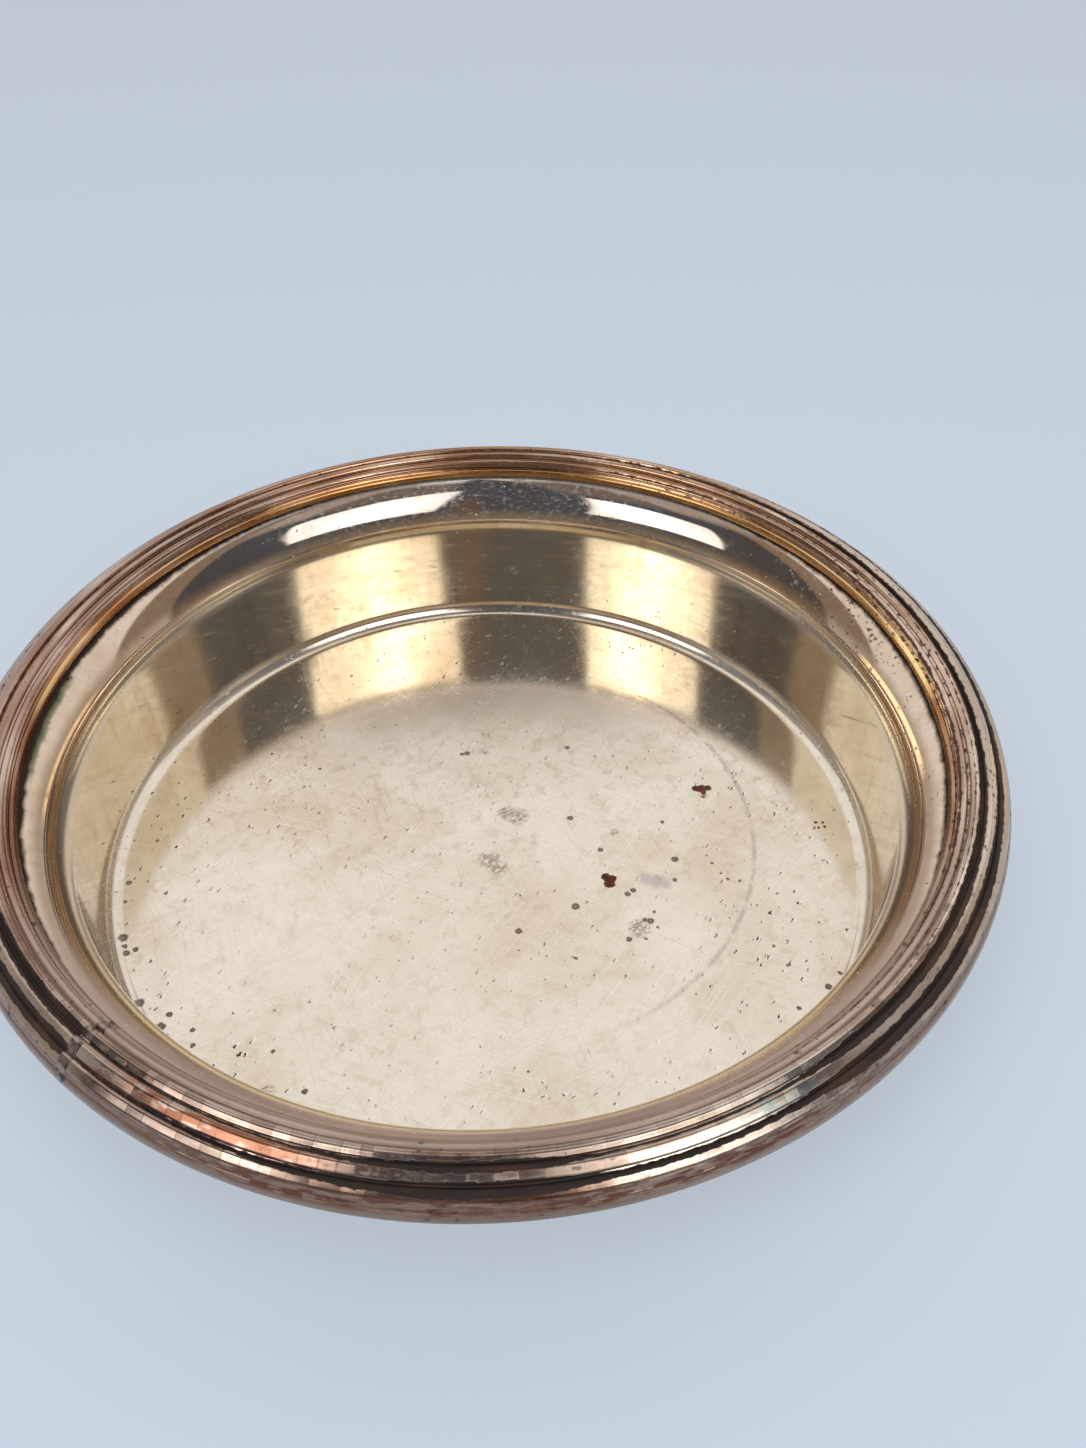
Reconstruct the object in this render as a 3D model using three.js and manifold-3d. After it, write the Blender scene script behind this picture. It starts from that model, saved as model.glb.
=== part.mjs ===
import * as THREE from 'three';
import { mergeVertices } from 'three/addons/utils/BufferGeometryUtils.js';
import Module from 'manifold-3d';

// Bottle coaster: a spun sheet dish with a flared lip and a reeded border set on its flange.
// Millimetres, +Z up, origin on the table under the middle of the dish.

const wasm = await Module();
wasm.setup();

// Dish: one sheet, measured on its upper face.
const sheetThickness = 1.0;
const floorRadius = 56.0; // where the line of the wall meets the floor
const footRadius = 2.3; // curve between floor and wall
const wallTilt = 3.5; // degrees from upright
const wallHeight = 16.4; // straight part of the wall
const lipRadius = 9.3; // bell-mouth curve of the lip
const flangeWidth = 2.1; // flat rim beyond the curve

// Border: a half-round strip with reeds, bent to a ring.
const borderRadius = 4.2; // of the half-round
const borderCrest = 2.45; // top of the strip above the flange
const borderOverhang = 1.6; // strip beyond the edge of the flange
const borderHang = 6; // degrees that the outermost reed turns down past level
const grooveFloor = 0.28; // width of the bottom of a groove
const grooves = [
  { angle: 145, depth: 0.45 }, // degrees about the middle of the half-round, from outside over the top
  { angle: 119, depth: 0.7 },
  { angle: 91, depth: 0.75 },
  { angle: 57, depth: 0.75 },
  { angle: 22, depth: 0.2 },
];

// Solder: the bed between flange and border, and the seam between the ends of the strip.
const bedGap = 0.5; // room between flange and border
const bedClearance = 0.1; // solder to the metal above and below it
const bedSetback = 0.4; // solder behind the inner edge of the border
const edgeClearance = 0.3; // border to the edge of the flange
const seamWidth = 1.6; // room between the ends of the strip
const seamClearance = 0.3; // solder seam to each end of the strip
const seamAzimuth = 227; // degrees from +X

// Fineness of the curves.
const turnSegments = 72;
const footSteps = 4;
const lipSteps = 8;
const bedSteps = 4;
const reedSteps = 4;

const degrees = Math.PI / 180;
const tilt = wallTilt * degrees;
const quarterTurn = Math.PI / 2;

// Middle points of the curves, with the floor's upper face one sheet above the table.
const floorLevel = sheetThickness;
const footCentre = new THREE.Vector2(
  floorRadius + footRadius * Math.tan(tilt) - footRadius / Math.cos(tilt),
  floorLevel + footRadius,
);
const lipCentre = new THREE.Vector2(
  floorRadius + wallHeight * Math.tan(tilt) + lipRadius * Math.cos(tilt),
  floorLevel + wallHeight - lipRadius * Math.sin(tilt),
);
const flangeLevel = lipCentre.y + lipRadius;
const flangeEdge = lipCentre.x + flangeWidth;
const borderCentre = new THREE.Vector2(
  flangeEdge + borderOverhang - borderRadius,
  flangeLevel + borderCrest - borderRadius,
);

// A point of the foot curve: turn 0 lies on the floor, the last turn on the wall.
function footPoint(turn, radius) {
  return new THREE.Vector2(
    footCentre.x + radius * Math.sin(turn),
    footCentre.y - radius * Math.cos(turn),
  );
}

// A point of the lip curve: lean is the slope from upright, 90 degrees at the flange.
function lipPoint(lean, radius) {
  return new THREE.Vector2(
    lipCentre.x - radius * Math.cos(lean),
    lipCentre.y + radius * Math.sin(lean),
  );
}

function borderPoint(angle, radius) {
  return new THREE.Vector2(
    borderCentre.x + radius * Math.cos(angle),
    borderCentre.y + radius * Math.sin(angle),
  );
}

function arc(pointAt, from, to, steps, radius) {
  const points = [];
  for (let i = 0; i <= steps; i += 1) {
    points.push(pointAt(from + ((to - from) * i) / steps, radius));
  }
  return points;
}

function turned(profile) {
  const geometry = new THREE.LatheGeometry(profile, turnSegments);
  geometry.rotateX(quarterTurn);
  return geometry;
}

function dishProfile() {
  const wallTurn = quarterTurn - tilt;
  const under = arc(footPoint, 0, wallTurn, footSteps, footRadius + sheetThickness);
  const outside = arc(lipPoint, tilt, quarterTurn, lipSteps, lipRadius - sheetThickness);
  const lip = arc(lipPoint, quarterTurn, tilt, lipSteps, lipRadius);
  const foot = arc(footPoint, wallTurn, 0, footSteps, footRadius);
  return [
    new THREE.Vector2(0, floorLevel - sheetThickness),
    ...under,
    ...outside,
    new THREE.Vector2(flangeEdge, flangeLevel - sheetThickness),
    new THREE.Vector2(flangeEdge, flangeLevel),
    ...lip,
    ...foot,
    new THREE.Vector2(0, floorLevel),
  ];
}

// Lean of the lip curve at the inner edge of the border, where the half-round meets the bed.
function borderFootLean() {
  const across = borderCentre.clone().sub(lipCentre);
  const distance = across.length();
  const bedRadius = lipRadius + bedGap;
  const along = (distance ** 2 + bedRadius ** 2 - borderRadius ** 2) / (2 * distance);
  const direction = Math.atan2(across.y, across.x) + Math.acos(along / bedRadius);
  return Math.PI - direction;
}

// One reed swells from the groove before it to the full half-round and back into the next groove.
function reed(before, after) {
  const half = grooveFloor / 2 / borderRadius;
  const from = before.angle * degrees - (before.depth > 0 ? half : 0);
  const to = after.angle * degrees + (after.depth > 0 ? half : 0);
  const points = [];
  for (let i = 0; i <= reedSteps; i += 1) {
    const place = -Math.cos((Math.PI * i) / reedSteps);
    const depth = place < 0 ? before.depth : after.depth;
    const swell = Math.sqrt(Math.max(0, 1 - place * place));
    const angle = (from + to) / 2 + (place * (to - from)) / 2;
    points.push(borderPoint(angle, borderRadius - depth * (1 - swell)));
  }
  return points;
}

function borderProfile() {
  const footLean = borderFootLean();
  const bedFoot = lipPoint(footLean, lipRadius + bedGap).sub(borderCentre);
  const inner = { angle: Math.atan2(bedFoot.y, bedFoot.x) / degrees, depth: 0 };
  const outer = { angle: -borderHang, depth: 0 };
  const edges = [inner, ...grooves, outer];
  const top = [];
  for (let i = 1; i < edges.length; i += 1) {
    top.push(...reed(edges[i - 1], edges[i]));
  }
  const lowest = top[top.length - 1];
  const bed = arc(lipPoint, footLean, quarterTurn, bedSteps, lipRadius + bedGap);
  const skirt = flangeEdge + edgeClearance;
  const section = [
    ...bed,
    new THREE.Vector2(skirt, flangeLevel + bedGap),
    new THREE.Vector2(skirt, lowest.y),
    ...top.reverse(),
  ];
  section[section.length - 1] = section[0].clone();
  return section;
}

function solderProfile() {
  const low = lipRadius + bedClearance;
  const high = lipRadius + bedGap - bedClearance;
  const start = borderFootLean() + bedSetback / lipRadius;
  const section = [
    ...arc(lipPoint, start, quarterTurn, bedSteps, low),
    new THREE.Vector2(flangeEdge, flangeLevel + bedClearance),
    new THREE.Vector2(flangeEdge, flangeLevel + bedGap - bedClearance),
    ...arc(lipPoint, quarterTurn, start, bedSteps, high),
  ];
  section.push(section[0].clone());
  return section;
}

// A block across the ring at the seam, wide enough in the other two directions to pass the border.
function seamBlock(width) {
  const reach = borderRadius * 4;
  const geometry = new THREE.BoxGeometry(reach, width, reach);
  geometry.translate(borderCentre.x, 0, borderCentre.y);
  geometry.rotateZ(seamAzimuth * degrees);
  return geometry;
}

function solid(geometry) {
  geometry.deleteAttribute('normal');
  geometry.deleteAttribute('uv');
  const merged = mergeVertices(geometry);
  return new wasm.Manifold(new wasm.Mesh({
    numProp: 3,
    vertProperties: new Float32Array(merged.attributes.position.array),
    triVerts: new Uint32Array(merged.index.array),
  }));
}

function surface(body) {
  const mesh = body.getMesh();
  const geometry = new THREE.BufferGeometry();
  geometry.setAttribute('position', new THREE.BufferAttribute(mesh.vertProperties, 3));
  geometry.setIndex(new THREE.BufferAttribute(mesh.triVerts, 1));
  geometry.computeVertexNormals();
  return geometry;
}

function piece(name, geometry, color, roughness, metalness) {
  const material = new THREE.MeshStandardMaterial({ color, roughness, metalness });
  const mesh = new THREE.Mesh(geometry, material);
  mesh.name = name;
  return mesh;
}

const ring = solid(turned(borderProfile()));
const strip = ring.subtract(solid(seamBlock(seamWidth)));
const seam = ring.intersect(solid(seamBlock(seamWidth - 2 * seamClearance)));

const coaster = new THREE.Group();
coaster.name = 'bottle_coaster';
coaster.add(piece('dish', turned(dishProfile()), 0xcfbfa8, 0.2, 1.0));
coaster.add(piece('rim_solder', turned(solderProfile()), 0x3b332d, 0.6, 0.6));
coaster.add(piece('reeded_border', surface(strip), 0xa08072, 0.3, 1.0));
coaster.add(piece('border_joint', surface(seam), 0x8a7468, 0.4, 0.9));

export default coaster;
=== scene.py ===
import math
import bmesh
import bpy
from types import SimpleNamespace
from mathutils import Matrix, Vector


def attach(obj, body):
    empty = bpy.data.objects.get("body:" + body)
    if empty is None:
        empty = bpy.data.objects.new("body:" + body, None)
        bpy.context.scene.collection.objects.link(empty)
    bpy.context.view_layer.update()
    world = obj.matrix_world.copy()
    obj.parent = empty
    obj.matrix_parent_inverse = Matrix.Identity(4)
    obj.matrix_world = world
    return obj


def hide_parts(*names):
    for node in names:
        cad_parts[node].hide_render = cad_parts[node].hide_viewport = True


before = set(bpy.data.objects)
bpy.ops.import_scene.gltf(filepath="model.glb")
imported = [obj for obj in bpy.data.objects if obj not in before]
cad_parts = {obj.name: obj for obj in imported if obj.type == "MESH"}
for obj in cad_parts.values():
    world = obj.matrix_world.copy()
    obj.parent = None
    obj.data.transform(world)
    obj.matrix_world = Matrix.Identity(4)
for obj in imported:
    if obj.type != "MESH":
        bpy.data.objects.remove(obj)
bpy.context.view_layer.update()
mm = 0.001
sharpAngle = 50  # degrees between faces from which an edge stays hard
print("frame loaded:", ", ".join(sorted(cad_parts)))


# small helpers for node trees, which add to the tree in hand

tree = None


def workOn(newTree):
    global tree
    tree = newTree


def addNode(kind, values=None, **settings):
    node = tree.nodes.new(kind)
    for key, value in settings.items():
        setattr(node, key, value)
    for key, value in (values or {}).items():
        if isinstance(value, bpy.types.NodeSocket):
            tree.links.new(value, node.inputs[key])
        else:
            node.inputs[key].default_value = value
    return node


def calc(operation, *values):
    return addNode("ShaderNodeMath", dict(enumerate(values)), operation=operation).outputs[0]


def fade(value, low, high, start=0.0, end=1.0):
    values = {"Value": value, "From Min": low, "From Max": high, "To Min": start, "To Max": end}
    return addNode("ShaderNodeMapRange", values, interpolation_type="SMOOTHSTEP").outputs[0]


def vectorCalc(operation, *values):
    return addNode("ShaderNodeVectorMath", dict(enumerate(values)), operation=operation)


def stretch(place, sizes, turn=0.0, shift=(0, 0, 0)):
    # turns the place first, then measures it in the given sizes (millimetres)
    values = {"Vector": place, "Location": shift, "Rotation": (0, 0, math.radians(turn)), "Scale": sizes}
    return addNode("ShaderNodeMapping", values, vector_type="TEXTURE").outputs[0]


def cloud(place, scale=1.0, detail=2.0, roughness=0.5, twist=0.0):
    values = {"Vector": place, "Scale": scale, "Detail": detail, "Roughness": roughness, "Distortion": twist}
    return addNode("ShaderNodeTexNoise", values).outputs[0]


def tint(share, under, over, mode="MIX"):
    node = tree.nodes.new("ShaderNodeMix")
    node.data_type = "RGBA"
    node.blend_type = mode
    for index, value in ((0, share), (6, under), (7, over)):
        if isinstance(value, bpy.types.NodeSocket):
            tree.links.new(value, node.inputs[index])
        elif index:
            node.inputs[index].default_value = (*value, 1.0)
        else:
            node.inputs[index].default_value = value
    return node.outputs[2]


def coat(tone, mask, layer):
    # lays a colour over the tone; layer: how much of it, and the colour
    share, colour = layer
    return tint(product(mask, share), tone, colour)


def specks(place, cell, keep, size):
    # round spots in a share of the cells, none the same size
    node = addNode("ShaderNodeTexVoronoi", {"Vector": place, "Scale": 1.0 / cell})
    random = addNode("ShaderNodeSeparateColor", {0: node.outputs["Color"]})
    kept = calc("LESS_THAN", random.outputs[0], keep)
    reach = calc("MULTIPLY_ADD", random.outputs[1], size * 0.7, size * 0.3)
    inner = product(reach, 0.55)
    return product(kept, fade(node.outputs["Distance"], inner, reach, 1.0, 0.0))


def strokes(place, sizes, turn, shift, low, high):
    # straight scratches: the peaks of a cloud drawn out in one direction
    return fade(cloud(stretch(place, sizes, turn, shift), 1.0, 1.0), low, high)


def mostOf(masks):
    result = masks[0]
    for mask in masks[1:]:
        result = calc("MAXIMUM", result, mask)
    return result


def product(*masks):
    result = masks[0]
    for mask in masks[1:]:
        result = calc("MULTIPLY", result, mask)
    return result


def spotsAt(place, spots):
    # how near the closest spot on the floor is, each (x, y, half width): 0 at its middle, 1 at its edge
    nearest = None
    for sx, sy, half in spots:
        away = vectorCalc("DISTANCE", place, (sx, sy, floorLevel)).outputs["Value"]
        away = calc("DIVIDE", away, half)
        nearest = away if nearest is None else calc("MINIMUM", nearest, away)
    return nearest


def spanOf(value, low, high, soft):
    started = fade(value, low - soft, low + soft)
    return calc("SUBTRACT", started, fade(value, high - soft, high + soft))


def turnOf(x, y):
    degrees = product(calc("ARCTAN2", y, x), 180 / math.pi)
    return calc("FLOORED_MODULO", degrees, 360.0)


def roundRing(turn, stops):
    # a colour that changes with the direction from the middle, in degrees
    node = addNode("ShaderNodeValToRGB", {0: calc("DIVIDE", turn, 360.0)})
    ramp = node.color_ramp
    while len(ramp.elements) < len(stops) + 1:
        ramp.elements.new(0.5)
    for element, (degrees, colour) in zip(ramp.elements, [*stops, (360, stops[0][1])]):
        element.position = degrees / 360
        element.color = (*colour, 1)
    return node.outputs[0]


def ringValue(turn, stops):
    colour = roundRing(turn, [(degrees, (value,) * 3) for degrees, value in stops])
    return addNode("ShaderNodeSeparateColor", {0: colour}).outputs[0]


def newFinish(name):
    material = bpy.data.materials.new(name)
    material.use_nodes = True
    workOn(material.node_tree)
    shader = tree.nodes["Principled BSDF"]
    local = addNode("ShaderNodeTexCoord").outputs["Object"]
    place = vectorCalc("SCALE", local)
    place.inputs["Scale"].default_value = 1000.0  # patterns are written in millimetres
    return material, shader, place.outputs[0]


def finishSurface(shader, shine, rough, gloss, low, bump, depth):
    # low: heights for the bump, whose depth is in millimetres
    for name, value in (("Metallic", shine), ("Roughness", rough), ("Specular IOR Level", gloss)):
        if value is not None:
            tree.links.new(value, shader.inputs[name])
    node = addNode("ShaderNodeBump", {"Strength": bump, "Distance": depth * mm, "Height": low})
    tree.links.new(node.outputs[0], shader.inputs["Normal"])


def attribute(name):
    return addNode("ShaderNodeAttribute", attribute_name=name).outputs["Fac"]


# turned pieces: a section carried round the axis

def turnedTree():
    workOn(bpy.data.node_groups.new("turnedSection", "GeometryNodeTree"))
    inputs = (
        ("Section", "NodeSocketObject"), ("Path Radius", "NodeSocketFloat"), ("Points Around", "NodeSocketInt"),
        ("Open Ring", "NodeSocketBool"), ("Start Angle", "NodeSocketFloat"), ("Sweep Angle", "NodeSocketFloat"),
        ("Unevenness", "NodeSocketFloat"), ("Uneven Size", "NodeSocketFloat"), ("Seed", "NodeSocketInt"),
        ("Finish", "NodeSocketMaterial"),
    )
    for name, kind in inputs:
        tree.interface.new_socket(name=name, in_out="INPUT", socket_type=kind)
    tree.interface.new_socket(name="Geometry", in_out="OUTPUT", socket_type="NodeSocketGeometry")
    given = tree.nodes.new("NodeGroupInput").outputs
    section = addNode("GeometryNodeObjectInfo", {"Object": given["Section"]})
    profile = addNode("GeometryNodeMeshToCurve", {"Mesh": section.outputs["Geometry"]})
    circle = addNode("GeometryNodeCurvePrimitiveCircle",
                     {"Resolution": given["Points Around"], "Radius": given["Path Radius"]})
    part = addNode("GeometryNodeCurveArc",
                   {"Resolution": given["Points Around"], "Radius": given["Path Radius"],
                    "Start Angle": given["Start Angle"], "Sweep Angle": given["Sweep Angle"]})
    path = addNode("GeometryNodeSwitch",
                   {"Switch": given["Open Ring"], "False": circle.outputs["Curve"], "True": part.outputs["Curve"]},
                   input_type="GEOMETRY")
    swept = addNode("GeometryNodeCurveToMesh",
                    {"Curve": path.outputs[0], "Profile Curve": profile.outputs[0], "Fill Caps": given["Open Ring"]})
    welded = addNode("GeometryNodeMergeByDistance", {"Geometry": swept.outputs[0], "Distance": 1e-6})
    # hand-made unevenness, pushed along the normal where the section allows it
    rough = addNode("ShaderNodeTexNoise", {"W": given["Seed"], "Scale": given["Uneven Size"], "Detail": 1.5},
                    noise_dimensions="4D")
    loose = addNode("GeometryNodeInputNamedAttribute", {"Name": "loose"}, data_type="FLOAT")
    centred = calc("SUBTRACT", rough.outputs[0], 0.5)
    push = product(product(centred, given["Unevenness"]), loose.outputs[0])
    along = vectorCalc("SCALE", addNode("GeometryNodeInputNormal").outputs[0])
    tree.links.new(push, along.inputs["Scale"])
    moved = addNode("GeometryNodeSetPosition", {"Geometry": welded.outputs[0], "Offset": along.outputs[0]})
    smooth = addNode("GeometryNodeSetShadeSmooth", {"Geometry": moved.outputs[0]})
    real = addNode("GeometryNodeRealizeInstances", {"Geometry": smooth.outputs[0]})
    dressed = addNode("GeometryNodeSetMaterial", {"Geometry": real.outputs[0], "Material": given["Finish"]})
    tree.links.new(dressed.outputs[0], tree.nodes.new("NodeGroupOutput").inputs[0])
    return tree


def addObject(name, data):
    added = bpy.data.objects.new(name, data)
    bpy.context.scene.collection.objects.link(added)
    return added


def turnedPiece(name, section, closed, marks, values, finish):
    # section: (radius, height) in millimetres; marks: named values kept on the section's points
    pathRadius = values["Path Radius"]
    points = [(r * mm - pathRadius, -z * mm, 0.0) for r, z in section]
    edges = [(i, i + 1) for i in range(len(points) - 1)]
    if closed:
        edges.append((len(points) - 1, 0))
    outline = bpy.data.meshes.new(name + "Section")
    outline.from_pydata(points, edges, [])
    for key, numbers in marks.items():
        outline.attributes.new(key, "FLOAT", "POINT").data.foreach_set("value", numbers)
    guide = addObject(name + "Section", outline)
    piece = addObject(name, bpy.data.meshes.new(name))
    modifier = piece.modifiers.new("turned", "NODES")
    modifier.node_group = turnedSection
    for socket in turnedSection.interface.items_tree:
        if socket.in_out == "INPUT":
            given = {"Section": guide, "Finish": finish, **values}.get(socket.name)
            if given is not None:
                modifier[socket.identifier] = given
    ready = piece.evaluated_get(bpy.context.evaluated_depsgraph_get())
    mesh = bpy.data.meshes.new_from_object(ready)
    piece.modifiers.remove(modifier)
    piece.data = mesh
    mesh.name = name
    bpy.data.objects.remove(guide)
    shell = bmesh.new()
    shell.from_mesh(mesh)
    bmesh.ops.recalc_face_normals(shell, faces=shell.faces)
    shell.to_mesh(mesh)
    shell.free()
    mesh.set_sharp_from_angle(angle=math.radians(sharpAngle))
    print(name, "has", len(mesh.polygons), "faces")
    return piece


turnedSection = turnedTree()


def arcPoints(centre, radius, start, end, steps):
    angles = [start + (end - start) * i / steps for i in range(steps + 1)]
    return [(centre[0] + radius * math.cos(a), centre[1] + radius * math.sin(a)) for a in angles]


def between(low, high, steps):
    return [low + (high - low) * i / steps for i in range(steps + 1)]


dishSizes = {
    "sheet": 1.0, "floorRadius": 56.0, "footRadius": 2.3, "wallTilt": 3.5, "wallHeight": 16.4,
    "lipRadius": 9.3, "flangeWidth": 2.1, "around": 384, "unevenness": 0.05, "unevenSize": 16.0, "seed": 3,
    "stillAbove": 3.0, "stillOver": 4.0,  # where the unevenness ends above the middle of the lip's curve
    # steps along the section
    "baseSteps": 12, "heelSteps": 10, "outsideSteps": 24, "lipSteps": 44, "wallSteps": 16, "footSteps": 14,
    "floorSteps": 30,
}
tilt = math.radians(dishSizes["wallTilt"])
floorLevel = dishSizes["sheet"]
footCentre = (dishSizes["floorRadius"] + dishSizes["footRadius"] * (math.tan(tilt) - 1 / math.cos(tilt)),
              floorLevel + dishSizes["footRadius"])
lipCentre = (dishSizes["floorRadius"] + dishSizes["wallHeight"] * math.tan(tilt)
             + dishSizes["lipRadius"] * math.cos(tilt),
             floorLevel + dishSizes["wallHeight"] - dishSizes["lipRadius"] * math.sin(tilt))
flangeLevel = lipCentre[1] + dishSizes["lipRadius"]
flangeEdge = lipCentre[0] + dishSizes["flangeWidth"]


def dishSection():
    wallTurn = -tilt
    sheet, foot, lip = dishSizes["sheet"], dishSizes["footRadius"], dishSizes["lipRadius"]
    under = [(r, 0.0) for r in between(0.0, footCentre[0], dishSizes["baseSteps"])[:-1]]
    under += arcPoints(footCentre, foot + sheet, -math.pi / 2, wallTurn, dishSizes["heelSteps"])
    under += arcPoints(lipCentre, lip - sheet, math.pi - tilt, math.pi / 2, dishSizes["outsideSteps"])
    under += [(flangeEdge, flangeLevel - sheet)]
    upper = [(flangeEdge, flangeLevel)]
    upper += arcPoints(lipCentre, lip, math.pi / 2, math.pi - tilt, dishSizes["lipSteps"])
    wallTop = upper[-1]
    footCurve = arcPoints(footCentre, foot, wallTurn, -math.pi / 2, dishSizes["footSteps"])
    wallFoot = footCurve[0]
    steps = dishSizes["wallSteps"]
    upper += list(zip(between(wallTop[0], wallFoot[0], steps), between(wallTop[1], wallFoot[1], steps)))[1:-1]
    upper += footCurve
    upper += [(r, floorLevel) for r in between(footCentre[0], 0.0, dishSizes["floorSteps"])[1:]]
    inside = [0.0] * len(under) + [1.0] * len(upper)
    loose = [0.0] * len(under)
    for r, z in upper:
        loose.append(max(0.0, min(1.0, (lipCentre[1] + dishSizes["stillAbove"] - z) / dishSizes["stillOver"])))
    return under + upper, {"inside": inside, "loose": loose}


borderSizes = {
    "halfRound": 4.2, "radius": 4.14, "crest": 2.45, "overhang": 1.6, "hang": 6.0, "grooveFloor": 0.28, "bedGap": 0.5,
    "edgeClearance": 0.3,
    # grooves and finer lines: degrees about the middle of the half-round, and depth
    "grooves": ((145, 0.45), (119, 0.65), (91, 0.75), (57, 0.75), (22, 0.2)),
    "lines": ((133, 0.12), (105, 0.08)), "lineWidth": 4.0,
    # flat bands worn on three reeds: inner edge, outer edge and the way they face
    "flats": ((103, 92, 60), (78, 59, 56), (54, 38, 56)),
    # brown in the finer grooves and lines: place, reach to each side, share
    "stained": ((145, 7, 0.75), (133, 8, 1.0), (119, 7, 0.7), (105, 6, 0.65), (22, 7, 0.7)),
    "seamAzimuth": 227.0, "seamGap": 1.6, "seamWidth": 1.56, "seamPoints": 6, "around": 640,
    "unevenness": 0.03, "unevenSize": 260.0, "seed": 11, "reedSteps": 20, "bedSteps": 12,
}
halfRound = borderSizes["halfRound"]
borderCentre = (flangeEdge + borderSizes["overhang"] - halfRound, flangeLevel + borderSizes["crest"] - halfRound)
bedRadius = dishSizes["lipRadius"] + borderSizes["bedGap"]


def footLean():
    # where the half-round meets the bed, as an angle about the middle of the lip's curve
    dx, dz = borderCentre[0] - lipCentre[0], borderCentre[1] - lipCentre[1]
    distance = math.hypot(dx, dz)
    along = (distance ** 2 + bedRadius ** 2 - borderSizes["radius"] ** 2) / (2 * distance)
    return math.atan2(dz, dx) + math.acos(along / bedRadius)


def nearness(angle, place, width):
    return max(0.0, 1 - abs(angle - place) / width)


def flatDepth(angle):
    for inner, outer, way in borderSizes["flats"]:
        if outer <= angle <= inner:
            edge = math.radians(max(abs(inner - way), abs(outer - way)))
            return borderSizes["radius"] * (1 - math.cos(edge) / math.cos(math.radians(angle - way)))
    return 0.0


def borderSection():
    lean = footLean()
    bed = arcPoints(lipCentre, bedRadius, lean, math.pi / 2, borderSizes["bedSteps"])
    inner = math.degrees(math.atan2(bed[0][1] - borderCentre[1], bed[0][0] - borderCentre[0]))
    stops = [(inner, 0.0), *borderSizes["grooves"], (-borderSizes["hang"], 0.0)]
    half = math.degrees(borderSizes["grooveFloor"] / 2 / borderSizes["radius"])
    steps = borderSizes["reedSteps"]
    top = []
    for (a0, d0), (a1, d1) in zip(stops, stops[1:]):
        start = a0 - (half if d0 else 0)
        end = a1 + (half if d1 else 0)
        for i in range(steps + 1):
            place = -math.cos(math.pi * i / steps)
            depth = (d0 if place < 0 else d1) * (1 - math.sqrt(max(0.0, 1 - place * place)))
            angle = (start + end) / 2 + place * (end - start) / 2
            for line, cut in borderSizes["lines"]:
                depth += cut * nearness(angle, line, borderSizes["lineWidth"])
            depth = max(depth, flatDepth(angle))
            top.append((angle, depth))
    top = top[1:]
    skirt = flangeEdge + borderSizes["edgeClearance"]
    rounded = []
    for angle, depth in top:
        reach = borderSizes["radius"] - depth
        rounded.append((borderCentre[0] + reach * math.cos(math.radians(angle)),
                        borderCentre[1] + reach * math.sin(math.radians(angle))))
    lowest = rounded[-1][1]
    hidden = bed + [(skirt, flangeLevel + borderSizes["bedGap"]), (skirt, lowest)]
    angles = [angle for angle, depth in reversed(top)]
    fine = [max(share * nearness(angle, line, reach) for line, reach, share in borderSizes["stained"])
            for angle in angles]
    marks = {
        "fine": [0.0] * len(hidden) + fine,
        "reedAngle": [-90.0] * len(hidden) + angles,
        "loose": [0.0] * len(hidden) + [1.0] * len(top),
    }
    return hidden + rounded[::-1], marks


solderSizes = {"clearance": 0.1, "setback": 0.4, "around": 240, "steps": 8}


def solderSection():
    low = dishSizes["lipRadius"] + solderSizes["clearance"]
    high = bedRadius - solderSizes["clearance"]
    start = footLean() - solderSizes["setback"] / dishSizes["lipRadius"]
    section = arcPoints(lipCentre, low, start, math.pi / 2, solderSizes["steps"])
    section += [(flangeEdge, flangeLevel + solderSizes["clearance"]),
                (flangeEdge, flangeLevel + borderSizes["bedGap"] - solderSizes["clearance"])]
    section += arcPoints(lipCentre, high, math.pi / 2, start, solderSizes["steps"])
    return section, {}


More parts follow.
